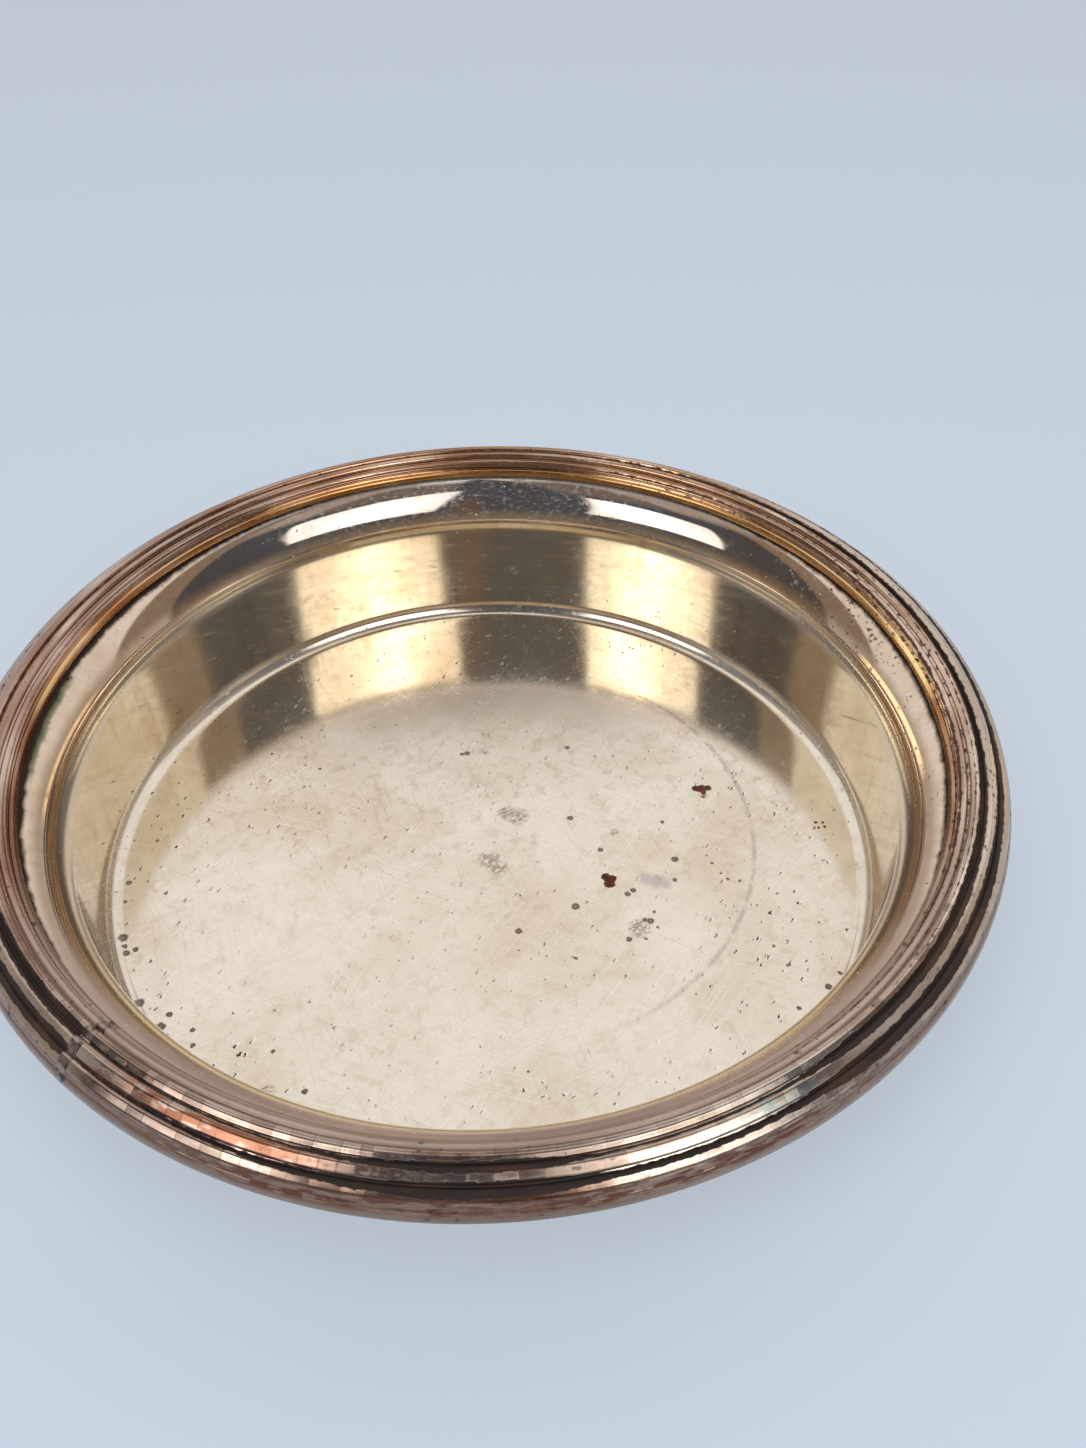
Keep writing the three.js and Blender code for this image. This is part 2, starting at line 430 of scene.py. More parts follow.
plateLook = {
    # colours of the plate
    "floorTone": (0.815, 0.74, 0.635), "wallTone": (0.82, 0.72, 0.555), "lipTone": (0.69, 0.56, 0.445),
    "lipBack": (0.63, 0.575, 0.525), "outsideTone": (0.72, 0.63, 0.54), "cloudTone": (0.88, 0.84, 0.79),
    "mottleTone": (0.90, 0.87, 0.83), "pitTone": (0.045, 0.024, 0.015), "chipTone": (0.15, 0.028, 0.014),
    # the gold line tone among these is a painted highlight along the lip's turn in front
    "hazeTone": (0.46, 0.345, 0.30), "hazePale": (0.52, 0.41, 0.36), "lineTone": (0.76, 0.57, 0.31),
    "verdigris": (0.15, 0.16, 0.09), "jointTone": (0.026, 0.016, 0.012),
    # what lies over them: how much of it, and its colour
    "stainCoat": (0.26, (0.62, 0.47, 0.31)), "runCoat": (0.3, (0.52, 0.33, 0.19)),
    "scratchCoat": (0.30, (0.52, 0.44, 0.36)), "paleCoat": (0.5, (0.93, 0.90, 0.85)),
    # the fleck coat is the painted highlight beside each fleck
    "fleckCoat": (0.6, (0.95, 0.92, 0.88)), "ochreCoat": (0.2, (0.52, 0.36, 0.15)),
    "patchCoat": (0.85, (0.30, 0.23, 0.18)), "purpleCoat": (0.5, (0.36, 0.30, 0.32)),
    "ringCoat": (0.6, (0.40, 0.37, 0.34)), "coreCoat": (0.6, (0.30, 0.23, 0.18)),
    # the grey bend coat is a painted reflection for the two side bends
    "dustCoat": (0.7, (0.86, 0.86, 0.86)), "bendCoat": (0.5, (0.74, 0.71, 0.64)),
    "pitShare": 0.9, "scuffShare": 0.35, "lineThins": 0.75,
    # heights in millimetres between which each part or mark sets in
    "wallFrom": (1.6, 3.4), "lipFrom": (18.0, 20.5), "baseBelow": (0.3, 2.0), "hazeFrom": (19.5, 21.5),
    "lineBelow": (22.5, 23.9), "bloomFrom": (24.1, 24.5), "edgeFrom": (24.95, 25.35),
    "bends": ((17.6, 20.6, 0.8), (1.2, 3.4, 0.3)),  # the last is the softness of the ends
    # the same by distance: to the back, to the sides and from the middle
    "lipBackFrom": (36.0, 52.0), "scuffFrom": (46.0, 56.0), "bendFrom": (25.0, 42.0), "ringFrom": (10.0, 34.0),
    "crowdFrom": (28.0, 50.0),
    # spans by direction from the middle in degrees, with the softness of their ends
    "hazeSpan": (214, 320, 14.0), "verdigrisSpan": (166, 184, 3.0),
    # dirt and painted shade along the joint, by the same direction
    "jointDirt": ((0, 0.7), (40, 0.45), (62, 0.25), (95, 0.2), (122, 0.4), (145, 0.9), (188, 1.0), (212, 0.6),
                  (228, 0.05), (312, 0.05), (335, 0.6)),
    # how polished and how rough each part is, and what each mark takes or adds
    "shine": {"floor": 0.965, "wall": 0.95, "lip": 0.955},
    # the shine lost in the bends is part of their painted reflection
    "shineLoss": {"dull": 0.7, "haze": 0.5, "rubbed": 0.2, "bends": 0.16},
    "rough": {"floor": 0.125, "wall": 0.06, "lip": 0.05},
    "roughGain": {"mottle": 0.10, "lines": 0.12, "haze": 0.12, "rubbed": 0.12, "dull": 0.40},
    "cleanGloss": 0.5, "dullGloss": 0.1, "bump": 0.15, "bumpDepth": 0.05,
    # marks on the floor: (x, y, half width) in millimetres
    "chips": ((16.5, -7.6, 0.75), (17.4, -7.9, 0.7), (16.9, -8.8, 0.85), (33.2, 9.1, 0.85), (34.2, 9.2, 0.6),
              (32.3, 9.2, 0.65), (33.3, 8.2, 0.4), (49.4, 0.9, 0.26), (50.5, 0.8, 0.26), (49.6, -0.2, 0.24),
              (50.6, -0.1, 0.26)),
    "pits": ((12.2, 4.4, 0.5), (16.2, -2.3, 0.42), (27.0, -4.9, 0.55), (26.5, -8.8, 0.35), (19.3, -10.9, 0.45),
             (20.2, -10.3, 0.45), (11.6, -12.7, 0.6), (3.2, -16.5, 0.5), (10.9, -21.7, 0.28), (26.1, 2.6, 0.3),
             (-3.2, 19.5, 0.5), (-4.0, 19.4, 0.35), (13.0, 19.7, 0.4), (32.4, -6.0, 0.22), (34.2, -9.2, 0.26),
             (35.9, -9.6, 0.26), (40.0, -24.9, 0.28), (38.6, -21.5, 0.26), (33.2, 7.4, 0.3), (22.7, -14.4, 0.28),
             (18.6, -19.0, 0.45), (21.0, -19.1, 0.28), (22.9, -17.2, 0.25), (22.0, -16.0, 0.55), (21.2, -15.8, 0.35),
             (-48.4, -25.0, 0.7), (-44.1, -27.1, 0.45), (-45.0, -28.9, 0.65), (-44.1, -30.3, 0.35),
             (-40.7, -29.7, 0.35), (-40.4, -32.1, 0.35), (-25.3, -39.9, 0.4), (-29.8, -33.8, 0.3),
             (-52.4, -13.8, 0.7), (-51.9, -15.3, 0.4), (-51.5, -16.5, 0.5), (-50.3, -16.0, 0.42),
             (-53.2, -3.8, 0.45), (-53.2, -7.3, 0.3), (44.7, -28.8, 0.5), (46.8, -26.7, 0.32), (40.0, -31.9, 0.35)),
    "patches": ((4.2, 5.3, 1.6), (2.4, 6.2, 1.2), (-0.4, -3.1, 1.6), (0.6, -4.6, 1.4), (20.3, -17.2, 1.5),
                (-30.2, -39.8, 1.1), (18.6, 1.0, 0.6), (33.3, 7.9, 0.7)),
    "purples": ((22.3, -8.3, 1.1), (23.8, -8.9, 1.2), (25.0, -9.6, 0.8)),
    "ochres": ((22.7, 5.3, 0.6), (21.7, -6.2, 1.1), (23.5, -2.6, 2.6), (-27.5, 7.5, 4.0), (-34.0, 9.0, 3.0)),
    # how sharp their edges are, as shares of the half width
    "chipEdge": (0.88, 1.1), "pitEdge": (0.7, 1.25), "coreEdge": (0.2, 0.6), "patchEdge": (0.6, 1.4),
    "purpleEdge": (0.4, 1.6), "ochreEdge": (0.3, 1.7),
    "bottleMark": (1.5, 2.0), "markRadius": 38.05, "markEdge": (0.1, 0.55),  # ring left by a bottle
    # scattered spots: size of a cell, share of the cells, radius in a cell
    "flecks": (1.0, 0.42, 0.30), "widePits": (3.0, 0.16, 0.11), "outsidePits": (2.4, 0.2, 0.16),
    "dust": (1.7, 0.16, 0.12),
    "lipPits": (1.1, 0.34, 0.20),
    # the same at the right of the lip, with the spans of x and y where they set in
    "lipSpots": (((1.0, 1.0, 0.42), (46.0, 54.0), (6.0, 20.0)), ((0.8, 0.5, 0.34), (46.0, 54.0), (-28.0, -10.0))),
    # the dash shift places each fleck's painted highlight beside it
    "dash": (1.8, 0.65, 1), "dashTurn": 58, "dashShift": (0.3, 0.1, 0),  # length, width and turn of the flecks
    # scratches: length, width and depth of the stroke, its turn and shift
    "lightStrokes": (((30, 0.13, 9), 52, (2, 6, 0)), ((24, 0.12, 9), 161, (6, 3, 0))),
    "floorStrokes": (((16, 0.14, 9), 18, (3, 7, 0)), ((13, 0.13, 9), 63, (9, 1, 0)), ((18, 0.15, 9), 104, (5, 4, 0)),
                     ((14, 0.14, 9), 148, (1, 8, 0)), ((45, 0.12, 9), 34, (7, 2, 0)), ((38, 0.12, 9), 121, (4, 3, 0))),
    "wallStrokes": (((9, 9, 0.17), 0, (2, 5, 1)), ((6, 7, 0.13), 40, (6, 1, 4))),
    "floorCut": (0.66, 0.72), "wallCut": (0.64, 0.74),
}


def byPart(wall, lip, amounts):
    value = fade(wall, 0.0, 1.0, amounts["floor"], amounts["wall"])
    return calc("MULTIPLY_ADD", lip, amounts["lip"] - amounts["wall"], value)


def wornPlate():
    look = SimpleNamespace(**plateLook)
    material, shader, place = newFinish("wornPlate")
    x, y, z = addNode("ShaderNodeSeparateXYZ", {0: place}).outputs
    inside = attribute("inside")
    wall = product(inside, fade(z, *look.wallFrom))
    lip = product(inside, fade(z, *look.lipFrom))
    floor = calc("SUBTRACT", inside, wall)
    outside = calc("SUBTRACT", 1.0, inside)
    base = product(outside, fade(z, *look.baseBelow, 1.0, 0.0))
    skin = calc("SUBTRACT", outside, base)
    level = calc("ADD", floor, base)
    jitter = addNode("ShaderNodeTexNoise", {"Vector": place, "Scale": 2.2, "Detail": 2.0}).outputs["Color"]
    jitter = vectorCalc("SUBTRACT", jitter, (0.5, 0.5, 0.5)).outputs[0]
    ragged = vectorCalc("MULTIPLY_ADD", jitter, (1.0, 1.0, 0.0), place).outputs[0]
    smooth = vectorCalc("MULTIPLY_ADD", jitter, (0.5, 0.5, 0.0), place).outputs[0]
    mottle = cloud(place, 0.5, 4.0, 0.6)
    broad = cloud(place, 0.045, 4.0, 0.55, 0.6)

    # the plate: warm on the floor, yellower on the wall, pinkish on the lip
    tone = tint(wall, look.floorTone, look.wallTone)
    tone = tint(lip, tone, tint(fade(y, *look.lipBackFrom), look.lipTone, look.lipBack))
    tone = tint(inside, look.outsideTone, tone)
    tone = tint(fade(broad, 0.38, 0.68), tone, look.cloudTone, "MULTIPLY")
    stain = fade(cloud(place, 0.085, 5.0, 0.62, 0.4), 0.55, 0.74)
    tone = coat(tone, stain, look.stainCoat)
    tone = tint(fade(mottle, 0.45, 0.75), tone, look.mottleTone, "MULTIPLY")
    runs = fade(cloud(stretch(place, (3, 3, 30)), 1.0, 3.0), 0.55, 0.70)
    tone = coat(tone, product(runs, wall), look.runCoat)

    # scratches, fewer toward the top of the wall
    floorLines = mostOf([strokes(place, *stroke, *look.floorCut) for stroke in look.floorStrokes])
    wallLines = mostOf([strokes(place, *stroke, *look.wallCut) for stroke in look.wallStrokes])
    wallLines = product(wallLines, fade(z, 12.0, 17.0, 1.0, 0.3))
    lines = calc("ADD", product(floorLines, level), product(wallLines, calc("ADD", wall, skin)))
    tone = coat(tone, lines, look.scratchCoat)
    pale = mostOf([strokes(place, *stroke, *look.floorCut) for stroke in look.lightStrokes])
    tone = coat(tone, product(pale, floor), look.paleCoat)

    # flecks and pits, thicker toward the edge of the floor and on the lip
    radius = vectorCalc("LENGTH", stretch(place, (1, 1, 1e6))).outputs["Value"]
    crowd = calc("ADD", fade(broad, 0.36, 0.58, 0.1, 0.75), fade(radius, *look.crowdFrom, 0.0, 0.5))
    small, beside = [
        product(specks(stretch(ragged, look.dash, look.dashTurn, shift), *look.flecks), crowd)
        for shift in ((0, 0, 0), look.dashShift)]
    # pale shifted copies of the flecks: painted highlight on one side of each dent
    tone = coat(tone, product(beside, floor), look.fleckCoat)
    wide = specks(ragged, *look.widePits)
    lipPits = [product(specks(ragged, *look.lipPits), lip)]
    for spots, xFrom, yFrom in look.lipSpots:
        lipPits.append(product(specks(ragged, *spots), lip, fade(x, *xFrom), fade(y, *yFrom)))
    scatter = mostOf([product(calc("MAXIMUM", small, wide), level), *lipPits,
                      product(specks(ragged, *look.outsidePits), skin)])

    # single marks on the floor
    def floorMarks(near, edge):
        return product(fade(near, *edge, 1.0, 0.0), floor)

    nearPit = spotsAt(smooth, look.pits)
    pits = calc("MAXIMUM", scatter, floorMarks(nearPit, look.pitEdge))
    chips = floorMarks(spotsAt(smooth, look.chips), look.chipEdge)
    grain = fade(cloud(stretch(ragged, (0.9, 0.35, 1), 25), 1.0, 2.0), 0.40, 0.55)
    patches = product(floorMarks(spotsAt(ragged, look.patches), look.patchEdge), grain)
    ochres = floorMarks(spotsAt(ragged, look.ochres), look.ochreEdge)
    purples = floorMarks(spotsAt(ragged, look.purples), look.purpleEdge)
    for mask, layer in ((ochres, look.ochreCoat), (patches, look.patchCoat), (purples, look.purpleCoat)):
        tone = coat(tone, mask, layer)

    # the ring left by a bottle, worn away in places
    away = vectorCalc("LENGTH", stretch(smooth, (1, 1, 1e6), 0, (*look.bottleMark, 0))).outputs["Value"]
    off = calc("ABSOLUTE", calc("SUBTRACT", away, look.markRadius))
    ring = product(fade(off, *look.markEdge, 1.0, 0.0), floor, fade(mottle, 0.32, 0.52), fade(x, *look.ringFrom))
    tone = coat(tone, ring, look.ringCoat)
    pitTone = coat(look.pitTone, floorMarks(nearPit, look.coreEdge), look.coreCoat)
    tone = coat(tone, pits, (look.pitShare, pitTone))
    tone = tint(chips, tone, tint(fade(mottle, 0.4, 0.62), look.chipTone, look.pitTone))

    # dust that catches the light on the wall, and scuffs on the lip at the back
    dust = product(specks(place, *look.dust), wall)
    scuffs = fade(cloud(stretch(place, (0.9, 0.9, 0.35)), 1.0, 4.0, 0.7), 0.48, 0.72)
    scuffs = product(scuffs, lip, fade(y, *look.scuffFrom))
    dust = calc("MAXIMUM", dust, product(scuffs, look.scuffShare))
    tone = coat(tone, dust, look.dustCoat)

    # painted reflection: the two bends at the sides get a paler grey coat and less shine, standing in for the paler
    # reflection there
    bends = mostOf([spanOf(z, *span) for span in look.bends])
    bends = product(bends, inside, fade(calc("ABSOLUTE", x), *look.bendFrom))
    tone = coat(tone, bends, look.bendCoat)

    # haze on the lip in front, with a painted gold highlight along its turn, then dirt with painted shade and green
    # bloom beside the joint
    turn = turnOf(x, y)
    height = calc("MULTIPLY_ADD", calc("SUBTRACT", mottle, 0.5), 0.55, z)
    bloom = product(inside, spanOf(turn, *look.verdigrisSpan), fade(height, *look.bloomFrom))
    dirtAndShade = ringValue(turn, look.jointDirt)
    # dark brown beside the border: dirt along the joint with painted shade
    edge = product(inside, fade(calc("MULTIPLY_ADD", dirtAndShade, 0.5, height), *look.edgeFrom), fade(dirtAndShade, 0.0, 0.4))
    haze = product(inside, fade(z, *look.hazeFrom), spanOf(turn, *look.hazeSpan))
    # a gold painted highlight along the lip's turn, cut out of the haze
    line = product(haze, fade(height, *look.lineBelow, 1.0, 0.0))
    haze = calc("MULTIPLY_ADD", line, -look.lineThins, haze)
    tone = tint(haze, tone, tint(mottle, look.hazeTone, look.hazePale))
    for mask, colour in ((line, look.lineTone), (bloom, look.verdigris), (edge, look.jointTone)):
        tone = tint(mask, tone, colour)
    tree.links.new(tone, shader.inputs["Base Color"])

    # the outside is rubbed duller
    rubbed = product(outside, fade(broad, 0.35, 0.6, 0.3, 1.0))
    dull = mostOf([pits, chips, product(patches, 0.6), bloom, edge, product(dust, 0.8)])
    masks = {"dull": dull, "haze": haze, "rubbed": rubbed, "bends": bends, "lines": lines,
             "mottle": fade(mottle, 0.5, 0.75)}
    shine = byPart(wall, lip, look.shine)
    for name, loss in look.shineLoss.items():
        shine = calc("MULTIPLY_ADD", masks[name], -loss, shine)
    rough = byPart(wall, lip, look.rough)
    for name, gain in look.roughGain.items():
        rough = calc("MULTIPLY_ADD", masks[name], gain, rough)
    low = calc("MULTIPLY_ADD", mottle, 0.15, product(scatter, -1.0))
    finishSurface(shader, shine, rough, fade(dull, 0.0, 1.0, look.cleanGloss, look.dullGloss),
                  low, look.bump, look.bumpDepth)
    return material


borderLook = {
    # tones of the border, each by its direction from the middle in degrees
    # the gold stops at 34 and 141 of the inner tones are painted highlight, the glint on the innermost reed
    "inner": ((0, (0.42, 0.21, 0.10)), (34, (0.84, 0.55, 0.25)), (58, (0.60, 0.36, 0.15)), (115, (0.58, 0.29, 0.10)),
              (141, (0.70, 0.40, 0.17)), (158, (0.46, 0.20, 0.085)), (174, (0.26, 0.105, 0.055)),
              (205, (0.28, 0.16, 0.11)), (275, (0.34, 0.235, 0.19)), (320, (0.40, 0.23, 0.14))),
    # the paler crest stops at 245 and 286 and the paler outer stop at 288 are painted highlight where the window
    # glints fall
    "crest": ((0, (0.62, 0.49, 0.41)), (50, (0.56, 0.39, 0.27)), (95, (0.44, 0.27, 0.17)), (145, (0.46, 0.325, 0.265)),
              (175, (0.45, 0.31, 0.25)), (205, (0.43, 0.275, 0.20)), (222, (0.38, 0.27, 0.225)),
              (245, (0.60, 0.46, 0.39)), (272, (0.34, 0.25, 0.21)), (286, (0.76, 0.66, 0.57)),
              (312, (0.68, 0.56, 0.48))),
    "outer": ((0, (0.50, 0.39, 0.31)), (90, (0.48, 0.355, 0.29)), (180, (0.36, 0.27, 0.24)), (225, (0.44, 0.34, 0.30)),
              (248, (0.50, 0.39, 0.33)), (272, (0.27, 0.15, 0.105)), (288, (0.74, 0.64, 0.55)),
              (312, (0.60, 0.49, 0.42))),
    # how far the black fills the two deep grooves and the finer ones, by the same direction; the black is tarnish in
    # the grooves, and its strongest stops in front are partly painted dark reflection
    "deep": ((0, 0.5), (45, 0.4), (95, 0.2), (145, 0.2), (185, 0.3), (205, 0.75), (226, 0.9), (228, 0.2), (246, 0.25),
             (257, 0.55), (264, 0.92), (272, 0.92), (279, 0.35), (296, 0.35), (304, 0.9), (328, 0.85), (345, 0.6)),
    "thin": ((0, 0.42), (45, 0.36), (95, 0.2), (145, 0.14), (185, 0.12), (212, 0.06), (235, 0.0), (275, 0.0),
             (300, 0.15), (330, 0.45)),
    # the two deep grooves: angle across the strip, and how far the black reaches at most
    "blackened": ((91, 12.0), (57, 14.0)), "slide": 5.0,
    "black": (0.024, 0.018, 0.016), "rust": (0.085, 0.03, 0.018), "brown": (0.10, 0.045, 0.026),
    # of these, the pale gold (0.97, 0.72, 0.36) is a painted highlight for the glint on the innermost reed
    "orange": (0.29, 0.13, 0.08), "gilt": (0.97, 0.72, 0.36), "wornTone": (0.70, 0.61, 0.56),
    "bareTone": (0.86, 0.74, 0.66),
    # what lies over them: how much of it, and its colour
    "violetCoat": (0.8, (0.10, 0.06, 0.09)), "tickCoat": (0.35, (0.10, 0.045, 0.026)),
    "tealCoat": (0.6, (0.30, 0.42, 0.42)), "tanCoat": (0.55, (0.42, 0.345, 0.27)),
    "mauveCoat": (0.75, (0.33, 0.245, 0.21)), "umberCoat": (0.85, (0.20, 0.13, 0.10)),
    "mottledCoat": (0.95, (0.085, 0.03, 0.018)), "dotCoat": (0.75, (0.024, 0.018, 0.016)),
    # spans round the ring and bands across the strip, in degrees, with the softness of their ends
    "front": (208, 335, 12.0), "far": (50, 195, 15.0), "awayFromRight": (60, 320, 15.0), "slideSpan": (245, 325, 12.0),
    "brokenSpan": (75, 300, 20.0), "awayFromSide": (55, 303, 6.0), "leftSide": (185, 229, 3.0),
    "spottySpan": (256, 278, 6.0), "facetBand": (30, 110, 4.0), "mattBand": (34, 88, 3.0), "giltBand": (146, 158, 2.5),
    "spottyBand": (60, 88, 4.0),
    "orangeAt": ((234, 253, 4.0), (57, 84, 3.0)), "violetAt": ((234, 254, 4.0), (56, 63, 1.5)),
    "tealAt": ((291, 299, 2.5), (62, 92, 4.0)), "blotAt": ((84.5, 90.5, 0.8), (50, 70, 4.0)),
    "mottledAt": ((235, 308, 15.0), (10, 38, 8.0)),
    "giltSpans": ((2, 15, 4.0, 1.0), (157, 174, 4.0, 0.5)),  # the last is a share
    # angles and turns between which a tone or wear sets in
    "crestFrom": (50, 62), "innerFrom": (142, 148), "softFrom": (108, 116), "umberBelow": (30, 37),
    "edgeBelow": (18, 10), "ticksBefore": (254, 266), "tippedBefore": (258, 282),
    # the facet brightness range is a painted reflection step from one facet to the next
    "facet": 2.1, "facetShade": (0.70, 1.08), "facetTip": 0.8,  # length in millimetres, brightness, tilt
    "reedTurn": 30.0, "reedShift": 17.3,  # degrees across one reed, and how its facets differ from the next one's
    "rough": 0.14, "roughGain": {"dull": 0.30, "spots": 0.12, "soft": 0.2}, "shine": 0.93, "dullShine": 0.35,
    "mattLoss": 0.35, "cleanGloss": 0.5, "dullGloss": 0.15, "bump": 0.8, "bumpDepth": 0.3,
}


def tarnishedBorder():
    look = SimpleNamespace(**borderLook)
    material, shader, place = newFinish("tarnishedBorder")
    angle = attribute("reedAngle")
    x, y = addNode("ShaderNodeSeparateXYZ", {0: place}).outputs[:2]
    turn = turnOf(x, y)
    outward = vectorCalc("NORMALIZE", addNode("ShaderNodeCombineXYZ", {0: x, 1: y}).outputs[0]).outputs[0]
    # a place that runs round the ring and across the reeds, in millimetres
    across = product(angle, math.radians(halfRound))
    across = addNode("ShaderNodeCombineXYZ", {2: across}).outputs[0]
    lane = vectorCalc("MULTIPLY_ADD", outward, (borderCentre[0],) * 3, across).outputs[0]

    def at(span, band):
        return product(spanOf(turn, *span), spanOf(angle, *band))

    tone = tint(fade(angle, *look.crestFrom), roundRing(turn, look.outer), roundRing(turn, look.crest))
    tone = tint(fade(angle, *look.innerFrom), tone, roundRing(turn, look.inner))
    worn = cloud(stretch(lane, (14, 14, 1.6)), 1.0, 3.0)
    tone = tint(fade(worn, 0.42, 0.66), tone, look.wornTone, "MULTIPLY")
    tone = tint(fade(worn, 0.50, 0.30, 0.0, 0.35), tone, look.bareTone)

    # short facets along each reed in front, every one tipped a little differently and given its own brightness, a
    # painted reflection step
    front = spanOf(turn, *look.front)
    reed = calc("FLOOR", calc("DIVIDE", angle, look.reedTurn))
    along = product(turn, math.radians(borderCentre[0]) / look.facet)
    along = calc("MULTIPLY_ADD", reed, look.reedShift, along)
    facet = addNode("ShaderNodeTexVoronoi", {"W": along, "Scale": 1.0}, voronoi_dimensions="1D")
    lot, second = addNode("ShaderNodeSeparateColor", {0: facet.outputs["Color"]}).outputs[:2]
    tip = product(calc("SUBTRACT", lot, 0.5), calc("SUBTRACT", along, facet.outputs["W"]),
                  fade(turn, *look.tippedBefore, 1.0, 0.25), front)
    near = product(front, spanOf(angle, *look.facetBand))
    shade = fade(second, 0.0, 1.0, *look.facetShade)
    grey = addNode("ShaderNodeCombineXYZ", {0: shade, 1: shade, 2: shade}).outputs[0]
    tone = tint(near, tone, grey, "MULTIPLY")
    # dark ticks between some of them at the left, painted shade at the breaks between facets
    ends = addNode("ShaderNodeTexVoronoi", {"W": along, "Scale": 1.0}, voronoi_dimensions="1D",
                   feature="DISTANCE_TO_EDGE")
    ticks = product(fade(ends.outputs["Distance"], 0.02, 0.10, 1.0, 0.0), near,
                    fade(turn, *look.ticksBefore, 1.0, 0.0), fade(lot, 0.45, 0.65))

    # coloured tarnish that glints in front
    glint = cloud(stretch(lane, (2.5, 2.5, 0.8)), 1.0, 2.0)
    tone = tint(product(at(*look.orangeAt), fade(glint, 0.33, 0.5)), tone, look.orange)
    tone = coat(tone, product(at(*look.violetAt), fade(glint, 0.40, 0.55)), look.violetCoat)
    tone = coat(tone, ticks, look.tickCoat)
    tone = coat(tone, product(at(*look.tealAt), fade(glint, 0.4, 0.6)), look.tealCoat)

    # dull tan on the two outer reeds at the sides
    sides = calc("MAXIMUM", calc("SUBTRACT", 1.0, spanOf(turn, *look.awayFromSide)), spanOf(turn, *look.leftSide))
    matt = product(sides, spanOf(angle, *look.mattBand))
    tone = coat(tone, matt, look.tanCoat)

    # painted highlight: a paler, less metallic gold where the innermost reed turns to the light at either side,
    # standing in for the gold glint there
    gilt = mostOf([product(spanOf(turn, *span), share) for *span, share in look.giltSpans])
    gilt = product(gilt, spanOf(angle, *look.giltBand), fade(worn, 0.30, 0.50, 0.45, 1.0))
    tone = tint(gilt, tone, look.gilt)

    # in front the inner reeds are worn to one smooth mauve band
    soft = product(front, fade(angle, *look.softFrom))
    tone = coat(tone, soft, look.mauveCoat)

    # black left in the grooves, spreading up the reeds in spots; in front, where it is strongest, it is partly a
    # painted dark reflection
    spots = cloud(stretch(lane, (1.3, 1.3, 0.7)), 1.0, 4.0, 0.62)
    ragged = calc("SUBTRACT", spots, 0.5)
    deep = ringValue(turn, look.deep)
    thin = ringValue(turn, look.thin)
    slide = product(spanOf(turn, *look.slideSpan), look.slide)
    stains = []
    for line, width in look.blackened:
        gap = calc("ABSOLUTE", calc("ADD", calc("SUBTRACT", angle, line), slide))
        stains.append(calc("MULTIPLY_ADD", gap, -1 / width, 1.0))
    reach = calc("SUBTRACT", calc("ADD", mostOf(stains), deep), 1.0)
    dark = fade(calc("MULTIPLY_ADD", ragged, 0.7, reach), -0.05, 0.07)
    dark = calc("MAXIMUM", dark, at(*look.blotAt))
    reach = calc("SUBTRACT", calc("ADD", attribute("fine"), thin), 1.0)
    broken = fade(spanOf(turn, *look.brokenSpan), 0.0, 1.0, 1.5, 0.25)
    faint = fade(calc("MULTIPLY_ADD", ragged, broken, reach), -0.10, 0.12)
    rusty = fade(cloud(stretch(lane, (9, 9, 2.5), 0, (3, 1, 2)), 1.0, 2.0), 0.48, 0.64)
    tone = tint(faint, tone, tint(rusty, look.brown, look.rust))
    browned = calc("MAXIMUM", product(rusty, 0.3), spanOf(turn, *look.far))
    tone = tint(dark, tone, tint(browned, look.black, look.brown))

    # the outermost reed in front is brown, with rusty mottling
    under = product(front, fade(angle, *look.umberBelow, 1.0, 0.0))
    tone = coat(tone, under, look.umberCoat)
    mottled = cloud(stretch(lane, (2.6, 2.6, 0.6), 0, (5, 2, 1)), 1.0, 4.0, 0.6)
    mottled = product(at(*look.mottledAt), fade(mottled, 0.42, 0.58))
    tone = coat(tone, mottled, look.mottledCoat)

    # black dots, most where the grooves are black and along the right
    def dotted(sizes, shift, keep, size):
        return specks(stretch(lane, sizes, 0, shift), 1.0, keep, size)

    dots = calc("MAXIMUM", dotted((1.3, 1.3, 0.8), (0, 0, 0), 0.30, 0.42),
                dotted((0.6, 0.6, 0.4), (1, 5, 2), 0.24, 0.40))
    dots = product(dots, fade(calc("ADD", deep, thin), 0.3, 0.8, 0.15, 1.0))
    right = calc("SUBTRACT", 1.0, spanOf(turn, *look.awayFromRight))
    spotty = product(dotted((1.0, 1.0, 0.6), (2, 3, 1), 0.5, 0.5),
                     calc("MAXIMUM", spanOf(turn, *look.spottySpan), right),
                     spanOf(angle, *look.spottyBand))
    edgeDots = product(dotted((0.9, 0.9, 0.8), (4, 1, 3), 0.5, 0.45), right, fade(angle, *look.edgeBelow))
    dots = mostOf([dots, spotty, edgeDots])
    tone = coat(tone, dots, look.dotCoat)
    tree.links.new(tone, shader.inputs["Base Color"])

    dull = mostOf([dark, product(faint, 0.7), product(dots, 0.7), product(mottled, 0.6)])
    shine = fade(dull, 0.0, 1.0, look.shine, look.dullShine)
    # the painted gold highlight loses metal with the soft, matt and umber parts, so that its colour shows
    shine = calc("MULTIPLY_ADD", mostOf([soft, matt, under, gilt]), -look.mattLoss, shine)
    rough = look.rough
    for mask, name in ((dull, "dull"), (fade(spots, 0.45, 0.7), "spots"), (soft, "soft")):
        rough = calc("MULTIPLY_ADD", mask, look.roughGain[name], rough)
